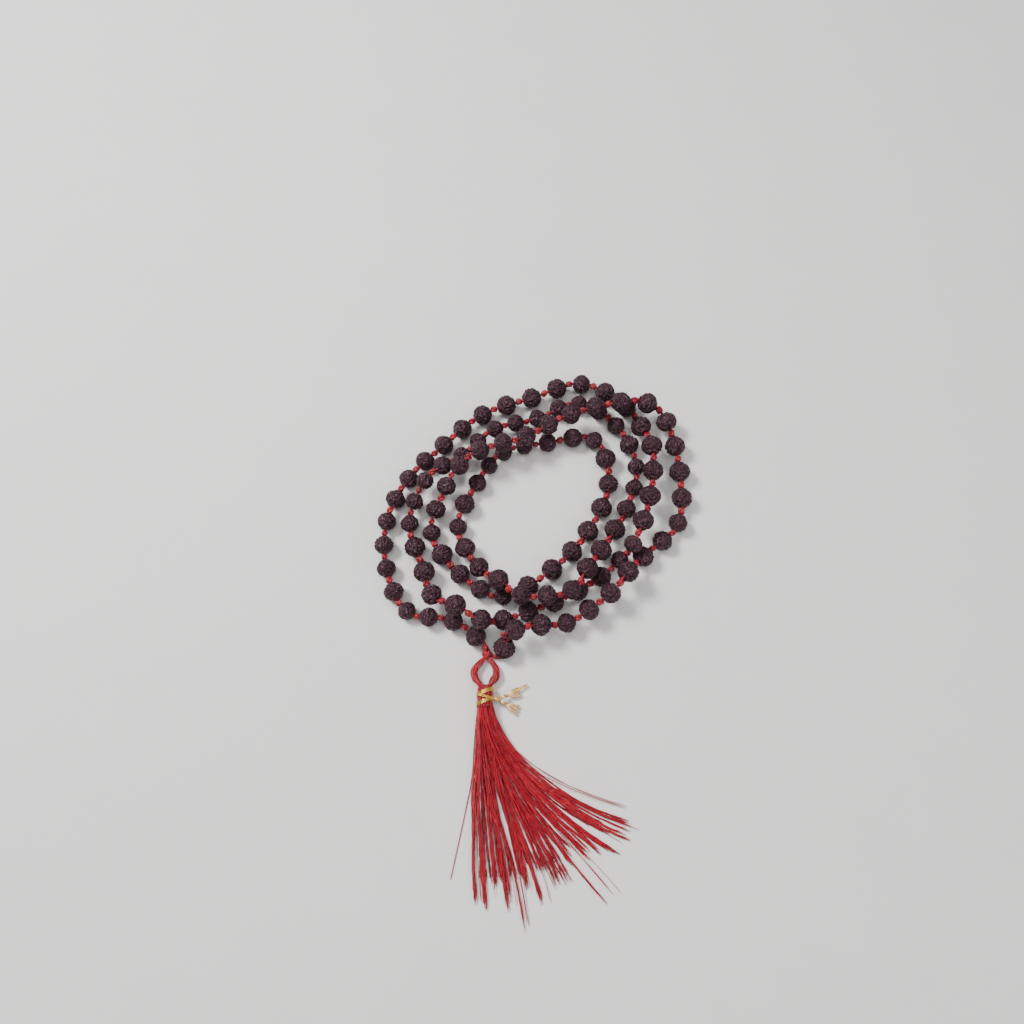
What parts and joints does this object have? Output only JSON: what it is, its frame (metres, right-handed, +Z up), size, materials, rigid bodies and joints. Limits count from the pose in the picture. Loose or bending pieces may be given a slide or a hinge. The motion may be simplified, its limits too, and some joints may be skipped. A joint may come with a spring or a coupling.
{
  "type": "mala prayer beads",
  "caption": "Knotted strand of dark carved-looking seed beads laid in a coil, closed by a guru bead and a silk tassel bound with gold thread, for counting prayers.",
  "frame": {"origin": "middle of the object's outline on the surface that it lies on", "axes": "+X right, +Y along the tassel from its tip towards the coil of beads, +Z up"},
  "size_m": [0.1099, 0.1852, 0.0158],
  "materials": {
    "seed": "dark stained, oiled by handling",
    "guru_seed": "dark stained, oiled by handling",
    "cotton_thread": "twisted",
    "silk_cord": "glossy twisted",
    "silk": "glossy",
    "gold_thread": "bright",
    "gold_foil": "bright, frayed"
  },
  "bodies": {
    "strand": {"thread_turn_1": "cotton_thread", "thread_turn_2": "cotton_thread", "thread_turn_3": "cotton_thread", "thread_turn_4": "cotton_thread", "thread_ends": "cotton_thread", "neck_knot": "cotton_thread", "beads_001_008": "seed", "beads_009_016": "seed", "beads_017_024": "seed", "beads_025_032": "seed", "beads_033_040": "seed", "beads_041_048": "seed", "beads_049_056": "seed", "beads_057_064": "seed", "beads_065_072": "seed", "beads_073_079": "seed"},
    "neck": {"neck_cord_left": "silk_cord", "neck_cord_right": "silk_cord"},
    "tassel": {"tassel_head": "silk", "gold_band_upper": "gold_thread", "gold_band_lower": "gold_thread", "gold_cross_thread": "gold_thread", "gold_tie_knot": "gold_foil", "gold_tail_upper": "gold_foil", "gold_tail_lower": "gold_foil", "silk_fringe": "silk", "stray_thread": "silk"},
    "guru": {"guru_bead": "guru_seed"},
    "bead_080": {"bead_080": "seed"},
    "bead_081": {"bead_081": "seed"},
    "bead_082": {"bead_082": "seed"},
    "bead_083": {"bead_083": "seed"},
    "bead_084": {"bead_084": "seed"},
    "bead_085": {"bead_085": "seed"},
    "bead_086": {"bead_086": "seed"},
    "bead_087": {"bead_087": "seed"},
    "bead_088": {"bead_088": "seed"},
    "bead_089": {"bead_089": "seed"},
    "bead_090": {"bead_090": "seed"},
    "bead_091": {"bead_091": "seed"},
    "bead_092": {"bead_092": "seed"},
    "bead_093": {"bead_093": "seed"},
    "bead_094": {"bead_094": "seed"},
    "bead_095": {"bead_095": "seed"},
    "bead_096": {"bead_096": "seed"},
    "bead_097": {"bead_097": "seed"},
    "bead_098": {"bead_098": "seed"},
    "bead_099": {"bead_099": "seed"},
    "bead_100": {"bead_100": "seed"},
    "bead_101": {"bead_101": "seed"},
    "bead_102": {"bead_102": "seed"},
    "bead_103": {"bead_103": "seed"},
    "bead_104": {"bead_104": "seed"},
    "bead_105": {"bead_105": "seed"},
    "bead_106": {"bead_106": "seed"},
    "bead_107": {"bead_107": "seed"},
    "bead_108": {"bead_108": "seed"}
  },
  "joints": [
    {"name": "tassel_swing", "type": "hinge", "parent": "strand", "child": "neck", "pos_m": [-0.0163, -0.0076, 0.0018], "axis": [0, 0, 1], "range_deg": [-35, 8]},
    {"name": "tassel_lift", "type": "hinge", "parent": "neck", "child": "tassel", "pos_m": [-0.0168, -0.0179, 0.0025], "axis": [-1, 0, 0], "range_deg": [0, 60]},
    {"name": "turn_bead_080", "type": "hinge", "parent": "strand", "child": "bead_080", "pos_m": [-0.011, 0.0115, 0.00337], "axis": [-0.9972, -0.0525, -0.0535], "continuous": true},
    {"name": "turn_bead_081", "type": "hinge", "parent": "strand", "child": "bead_081", "pos_m": [-0.01866, 0.01378, 0.00359], "axis": [-0.8644, 0.5017, 0.0347], "continuous": true},
    {"name": "turn_bead_082", "type": "hinge", "parent": "strand", "child": "bead_082", "pos_m": [-0.0255, 0.019, 0.00368], "axis": [-0.7403, 0.6719, 0.0227], "continuous": true},
    {"name": "turn_bead_083", "type": "hinge", "parent": "strand", "child": "bead_083", "pos_m": [-0.03172, 0.02575, 0.00367], "axis": [-0.5928, 0.804, -0.0456], "continuous": true},
    {"name": "turn_bead_084", "type": "hinge", "parent": "strand", "child": "bead_084", "pos_m": [-0.0355, 0.0335, 0.00333], "axis": [-0.157, 0.9834, 0.091], "continuous": true},
    {"name": "turn_bead_085", "type": "hinge", "parent": "strand", "child": "bead_085", "pos_m": [-0.0341, 0.04133, 0.00528], "axis": [0.36, 0.8929, 0.2705], "continuous": true},
    {"name": "turn_bead_086", "type": "hinge", "parent": "strand", "child": "bead_086", "pos_m": [-0.0305, 0.049, 0.00761], "axis": [0.4191, 0.8321, 0.3633], "continuous": true},
    {"name": "turn_bead_087", "type": "hinge", "parent": "strand", "child": "bead_087", "pos_m": [-0.026, 0.055, 0.01161], "axis": [0.6797, 0.6797, 0.2758], "continuous": true},
    {"name": "turn_bead_088", "type": "hinge", "parent": "strand", "child": "bead_088", "pos_m": [-0.019, 0.0605, 0.01167], "axis": [0.8878, 0.4545, -0.0716], "continuous": true},
    {"name": "turn_bead_089", "type": "hinge", "parent": "strand", "child": "bead_089", "pos_m": [-0.01105, 0.06329, 0.01137], "axis": [0.9595, 0.2807, -0.0246], "continuous": true},
    {"name": "turn_bead_090", "type": "hinge", "parent": "strand", "child": "bead_090", "pos_m": [-0.003, 0.066, 0.01115], "axis": [0.9126, 0.4077, -0.0311], "continuous": true},
    {"name": "turn_bead_091", "type": "hinge", "parent": "strand", "child": "bead_091", "pos_m": [0.00466, 0.07034, 0.01068], "axis": [0.8499, 0.5224, -0.0691], "continuous": true},
    {"name": "turn_bead_092", "type": "hinge", "parent": "strand", "child": "bead_092", "pos_m": [0.0125, 0.0745, 0.01023], "axis": [0.9318, 0.363, 0.0064], "continuous": true},
    {"name": "turn_bead_093", "type": "hinge", "parent": "strand", "child": "bead_093", "pos_m": [0.02106, 0.07691, 0.0109], "axis": [0.9738, 0.2054, 0.0972], "continuous": true},
    {"name": "turn_bead_094", "type": "hinge", "parent": "strand", "child": "bead_094", "pos_m": [0.03, 0.0785, 0.01142], "axis": [0.9849, 0.1658, -0.0494], "continuous": true},
    {"name": "turn_bead_095", "type": "hinge", "parent": "strand", "child": "bead_095", "pos_m": [0.0395, 0.079, 0.00942], "axis": [0.9118, -0.2487, -0.3267], "continuous": true},
    {"name": "turn_bead_096", "type": "hinge", "parent": "strand", "child": "bead_096", "pos_m": [0.0465, 0.0735, 0.00587], "axis": [0.4655, -0.8459, -0.2604], "continuous": true},
    {"name": "turn_bead_097", "type": "hinge", "parent": "strand", "child": "bead_097", "pos_m": [0.04926, 0.06482, 0.00459], "axis": [0.2039, -0.9741, -0.0975], "continuous": true},
    {"name": "turn_bead_098", "type": "hinge", "parent": "strand", "child": "bead_098", "pos_m": [0.0505, 0.0555, 0.00392], "axis": [0.0743, -0.9961, -0.0478], "continuous": true},
    {"name": "turn_bead_099", "type": "hinge", "parent": "strand", "child": "bead_099", "pos_m": [0.05078, 0.04587, 0.0038], "axis": [-0.0453, -0.9989, 0.0118], "continuous": true},
    {"name": "turn_bead_100", "type": "hinge", "parent": "strand", "child": "bead_100", "pos_m": [0.049, 0.037, 0.00357], "axis": [-0.426, -0.9037, -0.0429], "continuous": true},
    {"name": "turn_bead_101", "type": "hinge", "parent": "strand", "child": "bead_101", "pos_m": [0.04342, 0.03063, 0.00328], "axis": [-0.7764, -0.6298, -0.0233], "continuous": true},
    {"name": "turn_bead_102", "type": "hinge", "parent": "strand", "child": "bead_102", "pos_m": [0.0365, 0.025, 0.00392], "axis": [-0.6786, -0.6558, 0.3308], "continuous": true},
    {"name": "turn_bead_103", "type": "hinge", "parent": "strand", "child": "bead_103", "pos_m": [0.0305, 0.0185, 0.00942], "axis": [-0.6218, -0.7323, 0.2776], "continuous": true},
    {"name": "turn_bead_104", "type": "hinge", "parent": "strand", "child": "bead_104", "pos_m": [0.0245, 0.0115, 0.00834], "axis": [-0.7348, -0.65, -0.1936], "continuous": true},
    {"name": "turn_bead_105", "type": "hinge", "parent": "strand", "child": "bead_105", "pos_m": [0.01746, 0.00625, 0.00674], "axis": [-0.8163, -0.5476, -0.184], "continuous": true},
    {"name": "turn_bead_106", "type": "hinge", "parent": "strand", "child": "bead_106", "pos_m": [0.01, 0.002, 0.00554], "axis": [-0.9362, -0.3502, 0.0285], "continuous": true},
    {"name": "turn_bead_107", "type": "hinge", "parent": "strand", "child": "bead_107", "pos_m": [0.0015, 0.001, 0.00785], "axis": [-0.9458, -0.1243, 0.3001], "continuous": true},
    {"name": "turn_bead_108", "type": "hinge", "parent": "strand", "child": "bead_108", "pos_m": [-0.007, -0.001, 0.01025], "axis": [-0.9324, -0.345, 0.1076], "continuous": true},
    {"name": "turn_guru_bead", "type": "hinge", "parent": "strand", "child": "guru", "pos_m": [-0.0105, -0.006, 0.0041], "axis": [0.3607, 0.7214, 0.5912], "continuous": true}
  ]
}
